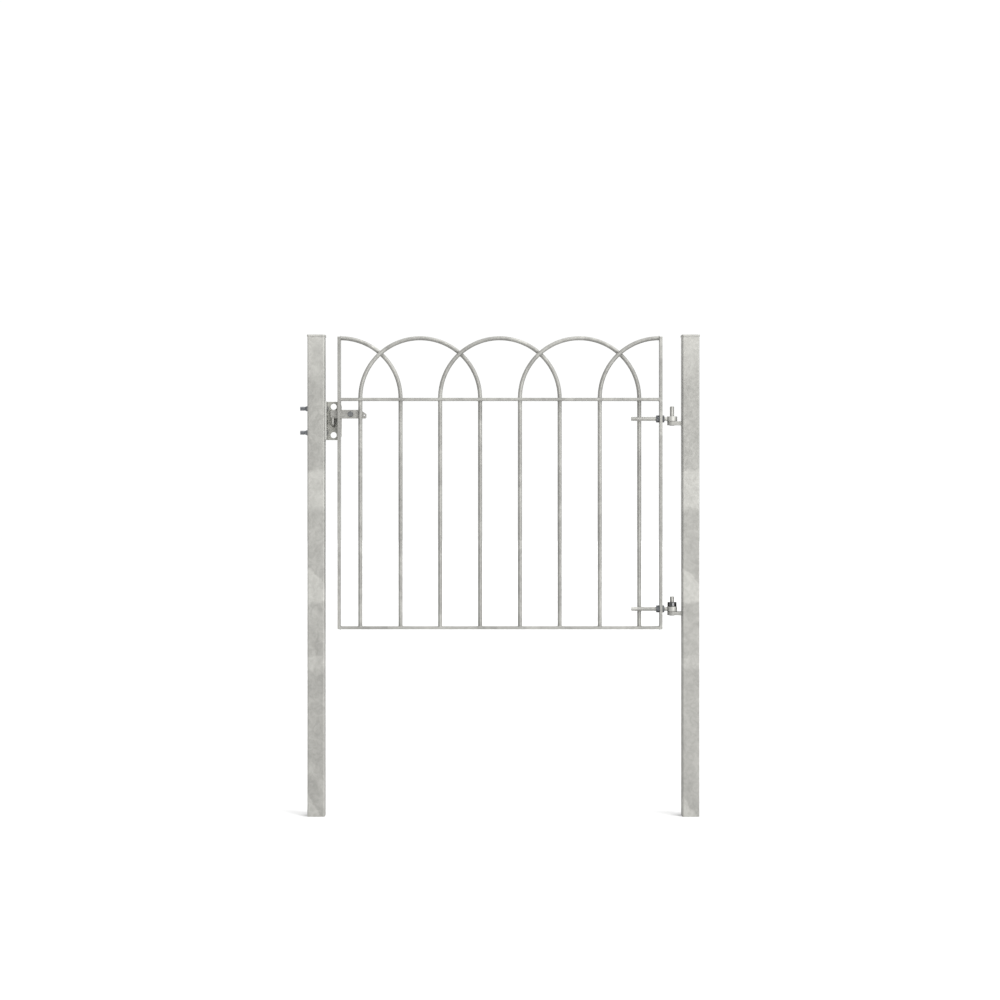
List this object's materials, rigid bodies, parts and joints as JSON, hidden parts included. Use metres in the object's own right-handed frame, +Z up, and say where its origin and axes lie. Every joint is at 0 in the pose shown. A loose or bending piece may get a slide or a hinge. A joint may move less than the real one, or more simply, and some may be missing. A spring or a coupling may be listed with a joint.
{
  "type": "garden gate",
  "caption": "Galvanised steel garden gate: a leaf of interlaced hooped round bars swings on eyebolt hinges between two square posts and closes on a gravity latch.",
  "frame": {"origin": "on the ground line, midway between the two posts, on the posts' centre plane", "axes": "+X from the latch post to the hinge post, +Y away from the side the leaf opens to, +Z up"},
  "size_m": [1.164, 0.0526, 1.402],
  "materials": {
    "galvanised_steel": "hot-dip galvanised, satin, cloudy spangle",
    "zinc_plated_fixings": "dark bluish zinc plating, semi-gloss",
    "grey_bracket_steel": "dull grey galvanised",
    "dark_collar_steel": "blackened, glossy",
    "nylon": "natural nylon"
  },
  "bodies": {
    "posts": {"latch_post": "galvanised_steel", "hinge_post": "galvanised_steel", "latch_post_cap": "galvanised_steel", "hinge_post_cap": "galvanised_steel", "catch_bracket": "grey_bracket_steel", "keeper_hook": "galvanised_steel", "upper_catch_bolt": "zinc_plated_fixings", "lower_catch_bolt": "zinc_plated_fixings", "upper_shear_nut": "zinc_plated_fixings", "lower_shear_nut": "zinc_plated_fixings", "upper_hinge_lug": "galvanised_steel", "lower_hinge_lug": "galvanised_steel", "upper_hinge_pin": "galvanised_steel", "lower_hinge_pin": "galvanised_steel", "locking_collar": "dark_collar_steel", "collar_set_screw": "zinc_plated_fixings"},
    "leaf": {"latch_stile": "galvanised_steel", "hinge_stile": "galvanised_steel", "top_rail": "galvanised_steel", "bottom_rail": "galvanised_steel", "latch_side_hoop": "galvanised_steel", "middle_hoop": "galvanised_steel", "hinge_side_hoop": "galvanised_steel", "latch_half_hoop": "galvanised_steel", "hinge_half_hoop": "galvanised_steel", "latch_strap": "galvanised_steel", "upper_eyebolt": "galvanised_steel", "lower_eyebolt": "galvanised_steel", "upper_inner_nut": "zinc_plated_fixings", "lower_inner_nut": "zinc_plated_fixings", "upper_outer_nut": "zinc_plated_fixings", "lower_outer_nut": "zinc_plated_fixings", "pivot_bolt": "zinc_plated_fixings", "front_pivot_washer": "zinc_plated_fixings", "rear_pivot_washer": "zinc_plated_fixings", "pivot_lock_nut": "zinc_plated_fixings", "lock_nut_ring": "nylon"},
    "lever": {"latch_lever": "galvanised_steel"}
  },
  "joints": [
    {"name": "leaf_swing", "type": "hinge", "parent": "posts", "child": "leaf", "pos_m": [0.4915, -0.004, 0.103], "axis": [0, 0, 1], "range_deg": [0, 110]},
    {"name": "latch_pivot", "type": "hinge", "parent": "leaf", "child": "lever", "pos_m": [-0.446, 0.0048, 0.671], "axis": [0, 1, 0], "range_deg": [0, 22]}
  ]
}
